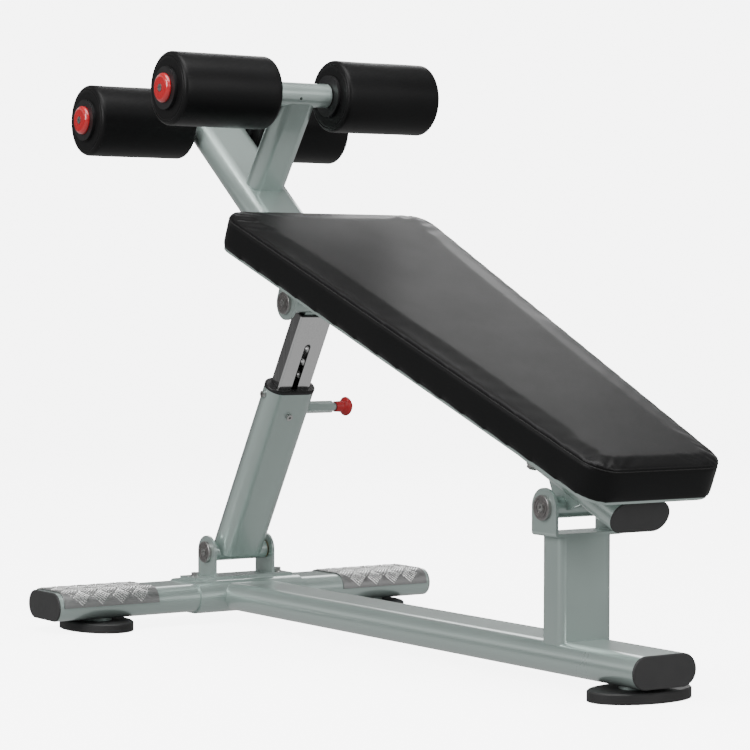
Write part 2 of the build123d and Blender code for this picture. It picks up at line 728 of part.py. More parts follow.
def make_plunger():
    tip_y = INNER_W / 2 + PLUNGER_CLEAR
    plunger = rod(post_point(PULL_PIN_S, tip_y), Y_DIR, BARREL_END + 18 - tip_y, PLUNGER_R)
    shoulder = rod(post_point(PULL_PIN_S, 73), Y_DIR, 3, 7.5)
    return round_rim(plunger, (0, -1, 0), 1.5) + shoulder


def make_pull_knob():
    """Mushroom-headed knob turned about the plunger's axis, hollow at its foot to go over the barrel's neck."""
    start = BARREL_END + 0.5
    long = KNOB_END - start
    bore = NECK_R + 0.6
    outline = Polyline((bore, 0), (9.6, 0), (10.2, 12))
    flare = Spline((10.2, 12), (13.4, 17.5), (16.8, 21), tangents=((0.05, 1), (0.9, 1)))
    crown = Spline((16.8, 21), (17.3, 24.5), (10.0, long - 1.2), (0, long), tangents=((0.5, 1), (-1, 0)))
    closing = Polyline((0, long), (0, 20), (PLUNGER_R, 20), (PLUNGER_R, 9), (bore, 9), (bore, 0))
    face = make_face(outline + flare + crown + closing)
    plane = Plane(origin=post_point(PULL_PIN_S, start), x_dir=(1, 0, 0), z_dir=(0, 0, 1))
    axis = Axis(post_point(PULL_PIN_S, start), Y_DIR)
    return revolve(plane * face, axis)


def lock_hole_stations():
    return [PULL_PIN_S + step * HOLE_PITCH for step in range(-HOLES_BELOW, HOLES_ABOVE + 1)]


def make_inner_post():
    tube = inner_slot(0, INNER_LOW, INNER_TOP - INNER_LOW)
    tube -= inner_slot(-INNER_WALL, INNER_LOW, INNER_TOP - INNER_LOW)
    middle = (SLOT_LOW + SLOT_HIGH) / 2
    slot_plane = Plane(origin=post_point(middle), x_dir=POST_DIR, z_dir=POST_FRONT)
    tube -= extrude(slot_plane * SlotOverall(SLOT_HIGH - SLOT_LOW, SLOT_W), INNER_T)
    for station in lock_hole_stations():
        tube -= rod(post_point(station), Y_DIR, INNER_W, LOCK_HOLE_R)
    return tube


def lug_bar(start, long):
    return extrude(along(post_point(start), POST_DIR) * Rectangle(50, INNER_T - 2 * INNER_WALL), long)


def make_inner_post_lug():
    """Welded block that joins the inner tube to the upper sleeve."""
    lug = lug_bar(INNER_TOP - 30, POST_LONG - INNER_TOP + 30)
    return lug - rod_y(PIVOT_UPPER, -OUTER_W, OUTER_W, SLEEVE_R)


def make_inner_post_plug():
    plug = inner_slot(0, INNER_TOP, 2.5)
    return plug - lug_bar(INNER_TOP - 1, 10)


def make_inner_post_glide():
    """Plastic slider on the foot of the inner tube, guided by the outer tube."""
    gap = 0.4
    width = OUTER_W - 2 * OUTER_WALL - 2 * gap
    glide = oval_bar(post_point(INNER_LOW - 4), POST_DIR, 30, width, OUTER_T - 2 * OUTER_WALL - 2 * gap)
    return glide - inner_slot(0, INNER_LOW, 40)


# ---- every node ---------------------------------------------------------------------------------


def base_nodes():
    return {
        "base_beam": make_base_beam(),
        "cross_tube": make_cross_tube(),
        "tee_sleeve": make_tee_sleeve(),
        "base_end_caps": make_base_end_caps(),
        "rubber_feet": make_feet(),
        "foot_plates": make_foot_plates(),
        "foot_bolts": make_foot_bolts(),
        "foot_nuts": make_foot_nuts(),
        "tread_plates": make_tread_plates(),
        "front_pivot_bracket": make_front_pivot_bracket(),
        "front_bracket_bolts": make_front_bracket_bolts(),
        "front_pivot_pin": pivot_pin(PIVOT_FRONT),
        "rear_post": make_rear_post(),
        "rear_pivot_bracket": make_rear_pivot_bracket(),
        "rear_pivot_pin": pivot_pin(PIVOT_REAR),
        "base_pivot_caps": pivot_caps(PIVOT_FRONT) + pivot_caps(PIVOT_REAR),
        "base_pivot_screws": pivot_screws(PIVOT_FRONT) + pivot_screws(PIVOT_REAR),
    }


def seat_nodes():
    return {
        "seat_tube": make_seat_tube(),
        "seat_end_cap": make_seat_end_cap(),
        "rear_pivot_sleeve": pivot_sleeve(PIVOT_REAR, PIN_R + RUN_GAP + BUSH_WALL),
        "rear_pivot_bushes": pivot_bushes(PIVOT_REAR),
        "seat_gussets": make_seat_gussets(),
        "upper_pivot_bracket": make_upper_pivot_bracket(),
        "upper_pivot_pin": pivot_pin(PIVOT_UPPER),
        "upper_pivot_caps": pivot_caps(PIVOT_UPPER),
        "upper_pivot_screws": pivot_screws(PIVOT_UPPER),
        "knee_branch": make_knee_branch(),
        "axle_tubes": make_axle_tubes(),
        "roller_spindles": make_roller_spindles(),
        "roller_collars": make_roller_collars(),
        "roller_end_caps": make_roller_end_caps(),
        "roller_cap_screws": make_roller_cap_screws(),
        "pad_bars": make_pad_bars(),
        "pad_board": make_pad_board(),
        "pad_cushion": make_pad_cushion(),
        "pad_bolts": make_pad_bolts(),
    }


def post_nodes():
    return {
        "outer_post": make_outer_post(),
        "front_pivot_sleeve": pivot_sleeve(PIVOT_FRONT, PIN_R + RUN_GAP + BUSH_WALL),
        "front_pivot_bushes": pivot_bushes(PIVOT_FRONT),
        "guide_collar": make_guide_collar(),
        "post_screws": make_post_screws(),
        "pin_barrel": make_pin_barrel(),
        "plunger_spring": make_plunger_spring(),
        "plunger": make_plunger(),
        "pull_knob": make_pull_knob(),
        "inner_post": make_inner_post(),
        "inner_post_lug": make_inner_post_lug(),
        "inner_post_plug": make_inner_post_plug(),
        "inner_post_glide": make_inner_post_glide(),
        "upper_pivot_sleeve": pivot_sleeve(PIVOT_UPPER, OPEN_BORE_R),
    }


def roller_nodes():
    nodes = {}
    for axle_name, xz in (("knee", KNEE_AXLE), ("ankle", ANKLE_AXLE)):
        for side_name, side in (("left", -1), ("right", 1)):
            nodes[f"{axle_name}_foam_{side_name}"] = roller_foam(xz, side)
            nodes[f"{axle_name}_core_{side_name}"] = roller_core(xz, side)
    return nodes


def write_node(name, shape):
    solids = shape if isinstance(shape, list) else [shape]
    parts = [solid for item in solids for solid in item.solids()]
    whole = parts[0] if len(parts) == 1 else Compound(children=parts)
    export_step(whole, f"parts/{name}.step")
    box = whole.bounding_box()
    print(name, len(parts), [round(value, 1) for value in (*box.min, *box.max)])


os.makedirs("parts", exist_ok=True)
print("post length", round(POST_LONG, 1), "lean", round(degrees(POST_LEAN), 2))
for group in (base_nodes(), seat_nodes(), post_nodes(), roller_nodes()):
    for node_name, node_shape in group.items():
        write_node(node_name, node_shape)
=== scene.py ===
"""Looks of the decline sit-up bench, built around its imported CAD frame. Units are metres."""

import math

import bmesh
import bpy
import numpy as np
from mathutils import Matrix, Vector


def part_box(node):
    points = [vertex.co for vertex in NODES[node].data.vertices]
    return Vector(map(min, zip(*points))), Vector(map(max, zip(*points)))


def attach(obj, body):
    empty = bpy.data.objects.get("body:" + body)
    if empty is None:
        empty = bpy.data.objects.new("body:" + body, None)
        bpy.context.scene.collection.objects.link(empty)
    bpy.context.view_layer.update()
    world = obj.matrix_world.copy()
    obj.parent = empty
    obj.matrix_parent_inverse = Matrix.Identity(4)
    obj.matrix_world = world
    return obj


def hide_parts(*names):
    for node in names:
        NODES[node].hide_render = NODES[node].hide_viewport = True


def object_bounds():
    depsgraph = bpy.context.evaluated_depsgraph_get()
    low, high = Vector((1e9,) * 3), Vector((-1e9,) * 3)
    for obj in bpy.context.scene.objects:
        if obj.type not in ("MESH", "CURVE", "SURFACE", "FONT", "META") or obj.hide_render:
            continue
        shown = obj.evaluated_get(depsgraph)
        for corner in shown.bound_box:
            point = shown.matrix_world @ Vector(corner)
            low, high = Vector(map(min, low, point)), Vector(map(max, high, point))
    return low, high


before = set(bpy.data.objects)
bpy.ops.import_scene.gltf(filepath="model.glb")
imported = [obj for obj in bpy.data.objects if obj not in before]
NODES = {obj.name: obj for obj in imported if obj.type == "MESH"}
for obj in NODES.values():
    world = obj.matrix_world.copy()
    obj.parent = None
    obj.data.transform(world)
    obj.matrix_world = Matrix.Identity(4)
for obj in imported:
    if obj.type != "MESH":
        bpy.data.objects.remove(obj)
cad_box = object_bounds()

# ---- camera, from the angle of the product photograph --------------------------------------------

CAMERA_AZIMUTH = 56.16
CAMERA_PITCH = 1.797
CAMERA_ROLL = 0.13
CAMERA_LENS = 126.93
CAMERA_DISTANCE = 4.412
AIM_OFFSET = Vector((-0.0228, -0.0365, -0.0448))  # from the middle of the bench to the aim point

# ---- cushion -------------------------------------------------------------------------------------

DECLINE = math.radians(23)  # the pad's slope
PAD_VOXEL = 0.005
PAD_START_IN = 0.0006  # the simulated shape starts this much smaller, and swells
PAD_MOVE_CAP = 0.0035
PAD_OUTLINE_R = 0.046
PAD_SEAM_DROP = 0.0098  # from the top of the cushion down to the seam round its sides
PAD_SEAM_DEPTH = 0.0018
PAD_SEAM_HALF = 0.0032

# ---- rollers -------------------------------------------------------------------------------------

ROLLER_DISC_R = 0.0555  # flat end disc, inside the seam
ROLLER_SEAM_DEPTH = 0.0012
ROLLER_TURNS = 128
ROLLER_MOVE_CAP = 0.0016

# ---- tread covers --------------------------------------------------------------------------------

TREAD_CELL = 0.0276  # side of one group of parallel bars
TREAD_BARS = 6
TREAD_RISE = 0.0013
TREAD_SHEET_R = 0.0275  # outer radius of the wrapped edges
TREAD_FLAT = 0.035  # half of the flat top


# ==== node materials ==============================================================================


def add(tree, kind, **inputs):
    """A shader node with some of its inputs set."""
    node = tree.nodes.new(kind)
    for name, value in inputs.items():
        node.inputs[name.replace("_", " ")].default_value = value
    return node


def noise(tree, scale, detail=3.0, stretch=None):
    """Noise in the object's own metres, stretched along an axis if asked."""
    coord = tree.nodes.new("ShaderNodeTexCoord")
    texture = add(tree, "ShaderNodeTexNoise", Scale=scale, Detail=detail)
    source = coord.outputs["Object"]
    if stretch:
        mapping = tree.nodes.new("ShaderNodeMapping")
        mapping.inputs["Scale"].default_value = stretch
        tree.links.new(source, mapping.inputs["Vector"])
        source = mapping.outputs["Vector"]
    tree.links.new(source, texture.inputs["Vector"])
    return texture.outputs["Fac"]


def cells(tree, scale, feature="F1"):
    """Voronoi cells in the object's own metres."""
    coord = tree.nodes.new("ShaderNodeTexCoord")
    texture = add(tree, "ShaderNodeTexVoronoi", Scale=scale)
    texture.feature = feature
    tree.links.new(coord.outputs["Object"], texture.inputs["Vector"])
    return texture.outputs["Distance"]


def ramp(tree, source, low, high, from_low=0.3, from_high=0.7):
    """Maps a grey value to a range."""
    node = add(tree, "ShaderNodeMapRange", From_Min=from_low, From_Max=from_high, To_Min=low, To_Max=high)
    tree.links.new(source, node.inputs["Value"])
    return node.outputs["Result"]


def tint(tree, source, dark, light):
    """Mixes two colours by a grey value."""
    node = tree.nodes.new("ShaderNodeMix")
    node.data_type = "RGBA"
    node.inputs["A"].default_value = (*dark, 1)
    node.inputs["B"].default_value = (*light, 1)
    tree.links.new(source, node.inputs["Factor"])
    return node.outputs["Result"]


def bump(tree, height, distance, strength=1.0, under=None):
    node = add(tree, "ShaderNodeBump", Strength=strength, Distance=distance)
    tree.links.new(height, node.inputs["Height"])
    if under:
        tree.links.new(under, node.inputs["Normal"])
    return node.outputs["Normal"]


def shader(name, **sockets):
    """A new material, its node tree and its Principled shader."""
    material = bpy.data.materials.new(name)
    material.use_nodes = True
    tree = material.node_tree
    bsdf = tree.nodes["Principled BSDF"]
    for socket, value in sockets.items():
        bsdf.inputs[socket.replace("_", " ")].default_value = value
    return material, tree, bsdf


def shades(colour, spread):
    """A darker and a lighter version of a colour."""
    return [channel * (1 - spread) for channel in colour], [channel * (1 + spread) for channel in colour]


def powder_coat(name, colour):
    """Metallic powder coat: fine flake, slight orange peel and a clear gloss over it."""
    material, tree, bsdf = shader(name, Metallic=0.6, Coat_Weight=0.9, Coat_Roughness=0.05, Coat_IOR=1.5)
    dark, light = shades(colour, 0.07)
    flake = noise(tree, 2600, 2)
    cloud = noise(tree, 9, 4)
    tree.links.new(tint(tree, flake, dark, light), bsdf.inputs["Base Color"])
    tree.links.new(ramp(tree, cloud, 0.27, 0.36), bsdf.inputs["Roughness"])
    peel = bump(tree, noise(tree, 420, 2), 0.00012, 0.35)
    tree.links.new(bump(tree, flake, 0.00002, 0.25, peel), bsdf.inputs["Normal"])
    return material


def moulded(name, colour, rough, grain=900, depth=0.00006, coat=0.0):
    """Moulded plastic or rubber with a fine spark-eroded grain and cloudy gloss."""
    material, tree, bsdf = shader(name, Coat_Weight=coat, Coat_Roughness=0.2)
    dark, light = shades(colour, 0.18)
    cloud = noise(tree, 30, 5)
    tree.links.new(tint(tree, cloud, dark, light), bsdf.inputs["Base Color"])
    tree.links.new(ramp(tree, noise(tree, 60, 4), rough - 0.06, rough + 0.07), bsdf.inputs["Roughness"])
    tree.links.new(bump(tree, noise(tree, grain, 3), depth, 0.6), bsdf.inputs["Normal"])
    return material


def metal(name, colour, rough, stretch=None, scale=300, depth=0.00003):
    """Bare or plated metal with fine machining marks."""
    material, tree, bsdf = shader(name, Metallic=1.0)
    dark, light = shades(colour, 0.1)
    marks = noise(tree, scale, 3, stretch)
    tree.links.new(tint(tree, marks, dark, light), bsdf.inputs["Base Color"])
    tree.links.new(ramp(tree, marks, rough * 0.75, rough * 1.3), bsdf.inputs["Roughness"])
    tree.links.new(bump(tree, marks, depth, 0.5), bsdf.inputs["Normal"])
    return material


def vinyl(name, colour, rough, grain=620, depth=0.00016):
    """Upholstery vinyl: a pebbled leather grain with softer, duller patches."""
    material, tree, bsdf = shader(name, Sheen_Weight=0.02, Sheen_Roughness=0.4, Specular_IOR_Level=0.17)
    dark, light = shades(colour, 0.12)
    pebble = cells(tree, grain)
    patches = noise(tree, 7, 5)
    tree.links.new(tint(tree, ramp(tree, patches, 0, 1), dark, light), bsdf.inputs["Base Color"])
    tree.links.new(ramp(tree, patches, rough - 0.02, rough + 0.03), bsdf.inputs["Roughness"])
    creases = bump(tree, noise(tree, 85, 6), 0.0002, 0.08)
    tree.links.new(bump(tree, pebble, depth, 0.4, creases), bsdf.inputs["Normal"])
    return material


SAGE = (0.45, 0.54, 0.51)
RED = (0.5, 0.01, 0.015)
MATERIALS = {
    "sage": powder_coat("sage_powder_coat", SAGE),
    "cap_plastic": moulded("cap_plastic", (0.03, 0.03, 0.0305), 0.5),
    "black_plastic": moulded("black_plastic", (0.009, 0.009, 0.0095), 0.4),
    "thread": moulded("seam_thread", (0.006, 0.006, 0.006), 0.7, 2000, 0.00005),
    # The sheet between the raised bars is a darker copy of the tread metal: painted shade between the bars.
    "tread_gap_painted_shade": metal("tread_gaps_painted_shade", (0.3, 0.3, 0.3), 0.45, None, 180, 0.00004),
    "rubber": moulded("foot_rubber", (0.018, 0.018, 0.018), 0.55, 700, 0.0001),
    "red_gloss": moulded("red_gloss", RED, 0.2, 500, 0.00001, coat=1.0),
    "red_satin": moulded("red_satin", (0.5, 0.01, 0.015), 0.4, 900, 0.00005, coat=0.15),
    "zinc": metal("zinc_plate", (0.55, 0.55, 0.54), 0.3),
    "chrome": metal("chrome_plate", (0.72, 0.72, 0.72), 0.16, (1, 1, 0.02), 500, 0.00001),
    "turned": metal("turned_caps", (0.36, 0.345, 0.34), 0.36, (1, 12, 1), 260),
    "bronze": metal("oiled_bronze", (0.45, 0.3, 0.13), 0.35),
    "tread": metal("tread_sheet", (0.8, 0.8, 0.79), 0.27, None, 180, 0.00004),
    "vinyl": vinyl("pad_vinyl", (0.0045, 0.0045, 0.0047), 0.42),
    "roller_skin": vinyl("roller_skin", (0.005, 0.005, 0.0052), 0.4, 1100, 0.00007),
}

FINISHES = {
    "sage": "base_beam cross_tube tee_sleeve front_pivot_bracket rear_post rear_pivot_bracket foot_plates seat_tube "
    "rear_pivot_sleeve seat_gussets upper_pivot_bracket knee_branch axle_tubes pad_bars pad_board outer_post "
    "front_pivot_sleeve upper_pivot_sleeve pin_barrel inner_post_lug",
    "cap_plastic": "base_end_caps seat_end_cap",
    "black_plastic": "guide_collar inner_post_plug inner_post_glide roller_collars knee_core_left knee_core_right "
    "ankle_core_left ankle_core_right",
    "zinc": "foot_bolts foot_nuts front_bracket_bolts front_pivot_pin rear_pivot_pin upper_pivot_pin "
    "base_pivot_screws upper_pivot_screws roller_spindles roller_cap_screws pad_bolts post_screws plunger "
    "plunger_spring",
    "turned": "base_pivot_caps upper_pivot_caps",
    "bronze": "rear_pivot_bushes front_pivot_bushes",
    "rubber": "rubber_feet",
    # The tread sheet takes the darker copy of the tread metal, as painted shade between the bars.
    "tread_gap_painted_shade": "tread_plates",
    "chrome": "inner_post",
    "red_satin": "pull_knob",
    "red_gloss": "roller_end_caps",
    "vinyl": "pad_cushion",
    "roller_skin": "knee_foam_left knee_foam_right ankle_foam_left ankle_foam_right",
}


def finish_cad_nodes():
    for finish, names in FINISHES.items():
        for name in names.split():
            for place in NODES[name].material_slots:
                place.material = MATERIALS[finish]


# ==== mesh helpers ================================================================================


def new_piece(name, points, faces, finish, smooth=True):
    """A mesh object from points and faces, with one of the materials."""
    mesh = bpy.data.meshes.new(name)
    mesh.from_pydata([tuple(point) for point in points], [], faces)
    mesh.validate()
    mesh.polygons.foreach_set("use_smooth", [smooth] * len(mesh.polygons))
    mesh.materials.append(MATERIALS[finish])
    piece = bpy.data.objects.new(name, mesh)
    bpy.context.scene.collection.objects.link(piece)
    return piece


def outward(piece):
    """Turns the faces of a closed mesh outward."""
    work = bmesh.new()
    work.from_mesh(piece.data)
    bmesh.ops.recalc_face_normals(work, faces=work.faces)
    work.to_mesh(piece.data)
    work.free()


def lathe(profile, turns):
    """Points and faces of a shape turned about Y: the profile is (along Y, radius), open at both ends."""
    points = []
    faces = []
    for i in range(turns):
        angle = 2 * math.pi * i / turns
        points += [(r * math.cos(angle), y, r * math.sin(angle)) for y, r in profile]
    count = len(profile)
    for i in range(turns):
        here = i * count
        there = (i + 1) % turns * count
        for k in range(count):
            nxt = (k + 1) % count
            faces.append((here + k, there + k, there + nxt, here + nxt))
    return points, faces


def bake_modifiers(piece):
    """Turns a piece's modifiers into its mesh."""
    graph = bpy.context.evaluated_depsgraph_get()
    mesh = bpy.data.meshes.new_from_object(piece.evaluated_get(graph))
    piece.modifiers.clear()
    piece.data = mesh


def coordinates(piece):
    points = np.empty(len(piece.data.vertices) * 3)
    piece.data.vertices.foreach_get("co", points)
    return points.reshape(-1, 3)


def set_coordinates(piece, points):
    piece.data.vertices.foreach_set("co", np.ascontiguousarray(points).reshape(-1))
    piece.data.update()


def inflate(piece, pinned, pressure, cap):
    """Swells a closed cover with cloth simulation. Pinned points stay, and no point moves further than cap."""
    start = coordinates(piece)
    group = piece.vertex_groups.new(name="pinned")
    group.add([int(i) for i in np.flatnonzero(pinned)], 1.0, "REPLACE")
    cloth = piece.modifiers.new("cover", "CLOTH")
    settings = cloth.settings
    settings.quality = 5
    settings.mass = 0.4
    settings.tension_stiffness = 25
    settings.compression_stiffness = 25
    settings.shear_stiffness = 10
    settings.bending_stiffness = 2
    settings.vertex_group_mass = "pinned"
    settings.use_pressure = True
    settings.uniform_pressure_force = pressure
    settings.effector_weights.gravity = 0
    cloth.collision_settings.use_collision = False
    cloth.collision_settings.use_self_collision = False
    cloth.point_cache.frame_start = 1
    cloth.point_cache.frame_end = 20
    for step in range(1, 21):
        bpy.context.scene.frame_set(step)
    bake_modifiers(piece)
    moved = coordinates(piece) - start
    far = np.linalg.norm(moved, axis=1, keepdims=True)
    set_coordinates(piece, start + moved * np.minimum(1, cap / np.maximum(far, 1e-9)))
    piece.vertex_groups.clear()
    bpy.context.scene.frame_set(1)


def subdivide(piece, levels=1):
    piece.modifiers.new("smooth", "SUBSURF").levels = levels
    bake_modifiers(piece)


# ==== cushion =====================================================================================

UPHILL = np.array([-math.cos(DECLINE), 0, math.sin(DECLINE)])
PAD_UP = np.array([math.sin(DECLINE), 0, math.cos(DECLINE)])


def pad_sizes():
    """The cushion's outline in its own plane, from its CAD solid: start, end, half widths, bottom and top."""
    points = coordinates(NODES["pad_cushion"])
    along = points @ UPHILL
    up = points @ PAD_UP
    low, high = along.min(), along.max()
    widest = np.abs(points[:, 1]).max()
    near_low = np.abs(points[along < low + 0.06][:, 1]).max()
    near_high = np.abs(points[along > high - 0.06][:, 1]).max()
    return low, high, near_low, near_high, widest, up.min(), up.max()


PAD_START, PAD_END, _, _, PAD_WIDE, PAD_FLOOR, PAD_TOP = pad_sizes()
PAD_NARROW = 0.123


def pad_place(along, across, up):
    """A point in the pad's own axes, in the frame."""
    return UPHILL * along + np.array([0, across, 0]) + PAD_UP * up


def pad_place_many(along, across, up):
    points = np.outer(along, UPHILL) + np.outer(up, PAD_UP)
    points[:, 1] += across
    return points


def pad_corners(inset):
    """Corners of the pad's outline before rounding, moved in by inset."""
    slope = math.atan((0.2135 - PAD_NARROW) / (PAD_END - PAD_START))
    side = inset / math.cos(slope)
    rate = math.tan(slope)
    low = PAD_NARROW + inset * rate - side
    high = 0.2135 - inset * rate - side
    start, end = PAD_START + inset, PAD_END - inset
    return [(start, -low), (end, -high), (end, high), (start, low)]


def outline_distance(along, across):
    """How far points of the pad's plane are outside its rounded outline; negative inside."""
    corners = np.array(pad_corners(PAD_OUTLINE_R))
    inside = np.full(along.shape, -1e9)
    reach = np.full(along.shape, 1e9)
    for a, b in zip(corners, np.roll(corners, -1, axis=0)):
        edge = (b - a) / np.linalg.norm(b - a)
        off = np.stack([along - a[0], across - a[1]], axis=-1)
        t = np.clip(off @ edge, 0, np.linalg.norm(b - a))
        reach = np.minimum(reach, np.linalg.norm(off - t[..., None] * edge, axis=-1))
        inside = np.maximum(inside, off[..., 0] * edge[1] - off[..., 1] * edge[0])
    return np.where(inside <= 0, inside, reach) - PAD_OUTLINE_R


def outline_points(inset, count):
    """Evenly spaced points round the pad's rounded outline, moved in by inset, as (along, across)."""
    radius = PAD_OUTLINE_R - inset
    corners = pad_corners(PAD_OUTLINE_R)
    loop = []
    for k, corner in enumerate(corners):
        before = np.array(corner) - np.array(corners[k - 1])
        after = np.array(corners[(k + 1) % 4]) - np.array(corner)
        first = math.atan2(-before[0], before[1])
        last = math.atan2(-after[0], after[1])
        turn = (last - first + math.pi) % (2 * math.pi) - math.pi
        for i in range(25):
            angle = first + turn * i / 24
            loop.append((corner[0] + radius * math.cos(angle), corner[1] + radius * math.sin(angle)))
    loop = np.array(loop + loop[:1])
    run = np.concatenate([[0], np.cumsum(np.linalg.norm(np.diff(loop, axis=0), axis=1))])
    wanted = np.linspace(0, run[-1], count, endpoint=False)
    return np.stack([np.interp(wanted, run, loop[:, 0]), np.interp(wanted, run, loop[:, 1])], axis=-1)


def pad_coordinates(points):
    return points @ UPHILL, points[:, 1], points @ PAD_UP


def make_cushion():
    """The upholstered pad: a cover swelled over foam, with a seam where the sides meet the top."""
    points = coordinates(NODES["pad_cushion"])
    middle = (PAD_START + PAD_END) / 2
    along, across, up = pad_coordinates(points)
    size = np.array([PAD_END - PAD_START, 2 * PAD_WIDE, PAD_TOP - PAD_FLOOR])
    shrink = 1 - np.array([2, 2, 1]) * PAD_START_IN / size
    local = np.stack([along - middle, across, up - PAD_FLOOR], axis=-1) * shrink
    faces = [tuple(face.vertices) for face in NODES["pad_cushion"].data.polygons]
    piece = new_piece("pad_cover", local, faces, "vinyl")
    work = bmesh.new()
    work.from_mesh(piece.data)
    bmesh.ops.remove_doubles(work, verts=work.verts, dist=1e-6)
    work.to_mesh(piece.data)
    work.free()
    # The mesh lies in the pad's own axes here, so the remeshed faces run along its edges.
    remesh = piece.modifiers.new("remesh", "REMESH")
    remesh.mode = "VOXEL"
    remesh.voxel_size = PAD_VOXEL
    remesh.use_smooth_shade = True
    bake_modifiers(piece)
    points = coordinates(piece)
    on_seam = np.abs(points[:, 2] + PAD_FLOOR - (PAD_TOP - PAD_SEAM_DROP)) < PAD_VOXEL * 0.8
    on_rim = outline_distance(points[:, 0] + middle, points[:, 1]) > -0.01
    inflate(piece, (points[:, 2] < 0.006) | (on_seam & on_rim), 4, PAD_MOVE_CAP)
    subdivide(piece)
    points = coordinates(piece)
    # The board is flat, so the underside is too.
    points[:, 2] = np.maximum(points[:, 2], 0.0003)
    # The seam pulls the cover in all round.
    gap = (points[:, 2] + PAD_FLOOR - (PAD_TOP - PAD_SEAM_DROP)) / PAD_SEAM_HALF
    rim = np.clip((outline_distance(points[:, 0] + middle, points[:, 1]) + 0.02) / 0.012, 0, 1)
    pull = PAD_SEAM_DEPTH * np.exp(-(gap**2) * 2.2) * rim
    inward = np.stack([np.clip(points[:, 0], -0.42, 0.42) - points[:, 0], -points[:, 1]], axis=-1)
    inward /= np.maximum(np.linalg.norm(inward, axis=-1, keepdims=True), 1e-9)
    points[:, :2] += pull[:, None] * inward
    points = pad_place_many(points[:, 0] + middle, points[:, 1], points[:, 2] + PAD_FLOOR)
    set_coordinates(piece, points)
    outward(piece)
    piece.data.polygons.foreach_set("use_smooth", [True] * len(piece.data.polygons))
    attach(piece, "seat_frame")
    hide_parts("pad_cushion")


def tube_loop(name, centres, radius, finish, sides=8):
    """A thin closed tube along a loop of points, with the pad's normal as its up direction."""
    centres = np.array(centres)
    forward = np.roll(centres, -1, axis=0) - np.roll(centres, 1, axis=0)
    forward /= np.linalg.norm(forward, axis=1, keepdims=True)
    side = np.cross(forward, PAD_UP)
    points = []
    for centre, out in zip(centres, side):
        for k in range(sides):
            angle = 2 * math.pi * k / sides
            points.append(centre + radius * (math.cos(angle) * out + math.sin(angle) * PAD_UP))
    faces = []
    count = len(centres)
    for i in range(count):
        j = (i + 1) % count
        for k in range(sides):
            m = (k + 1) % sides
            faces.append((i * sides + k, i * sides + m, j * sides + m, j * sides + k))
    piece = new_piece(name, points, faces, finish)
    outward(piece)
    return piece


def make_pad_seam():
    """Dark folded edge that lies in the cushion's seam."""
    centres = [pad_place(a, c, PAD_TOP - PAD_SEAM_DROP) for a, c in outline_points(0.0021, 640)]
    piece = tube_loop("pad_seam", centres, 0.0011, "thread")
    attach(piece, "seat_frame")


# ==== rollers =====================================================================================


def roller_profile(half, radius, bore):
    """Half outline of a roller as (along Y, radius): bore, flat end disc, seam and rounded shoulder."""
    shoulder = radius - ROLLER_DISC_R
    end = [(half, bore + (ROLLER_DISC_R - 0.0018 - bore) * k / 7) for k in range(8)]
    end += [
        (half - 0.0002, ROLLER_DISC_R - 0.0009),
        (half - ROLLER_SEAM_DEPTH, ROLLER_DISC_R - 0.0002),
        (half - ROLLER_SEAM_DEPTH, ROLLER_DISC_R + 0.0003),
        (half - 0.0004, ROLLER_DISC_R + 0.0008),
    ]
    for k in range(1, 9):
        angle = math.pi / 2 * k / 8
        end.append((half - shoulder + shoulder * math.cos(angle), ROLLER_DISC_R + shoulder * math.sin(angle)))
    run = [(half - shoulder - (2 * (half - shoulder)) * k / 22, radius) for k in range(1, 22)]
    back = [(-y, r) for y, r in reversed(end)]
    inside = [(-half + 2 * half * k / 4, bore) for k in range(1, 4)]
    return end + run + back + inside


def make_rollers():
    """One roller cover is swelled, and then stands at each of the four places."""
    low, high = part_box("knee_foam_left")
    half = (high.y - low.y) / 2
    radius = (high.x - low.x) / 2
    points, faces = lathe(roller_profile(half, radius - 0.0006, 0.0245), ROLLER_TURNS)
    model = new_piece("roller_cover", points, faces, "roller_skin")
    outward(model)
    co = coordinates(model)
    off_axis = np.hypot(co[:, 0], co[:, 2])
    inflate(model, off_axis < ROLLER_DISC_R + 0.001, 3, ROLLER_MOVE_CAP)
    places = [(row, side) for row in ("knee", "ankle") for side in ("left", "right")]
    for row, side in places:
        node = f"{row}_foam_{side}"
        low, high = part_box(node)
        piece = bpy.data.objects.new(f"{row}_roller_cover_{side}", model.data.copy())
        bpy.context.scene.collection.objects.link(piece)
        co = coordinates(piece)
        # Handling leaves each cover a little uneven, by a few tenths of a millimetre.
        turn = np.arctan2(co[:, 2], co[:, 0])
        phase = len(node) * 1.7 + (row == "knee")
        wave = np.sin(3 * turn + phase + 22 * co[:, 1]) + 0.6 * np.sin(5 * turn - phase + 41 * co[:, 1])
        off_axis = np.hypot(co[:, 0], co[:, 2])
        swell = 0.00022 * wave * np.clip((off_axis - 0.057) / 0.006, 0, 1)
        co[:, 0] += swell * np.cos(turn)
        co[:, 2] += swell * np.sin(turn)
        set_coordinates(piece, co + np.array((low + high) / 2))
        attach(piece, f"{row}_roller_{side}")
        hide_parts(node)
    bpy.data.objects.remove(model)


# ==== tread covers ================================================================================


def tread_point(s, y, lift, axis_x, top_z):
    """A point on the tread sheet: s runs over the top from its middle, and down round the edges."""
    beyond = abs(s) - TREAD_FLAT
    way = math.copysign(1, s)
    if beyond <= 0:
        return (axis_x + s, y, top_z + lift)
    angle = beyond / TREAD_SHEET_R
    radius = TREAD_SHEET_R + lift
    return (
        axis_x + way * (TREAD_FLAT + radius * math.sin(angle)),
        y,
        top_z - TREAD_SHEET_R + radius * math.cos(angle),
    )


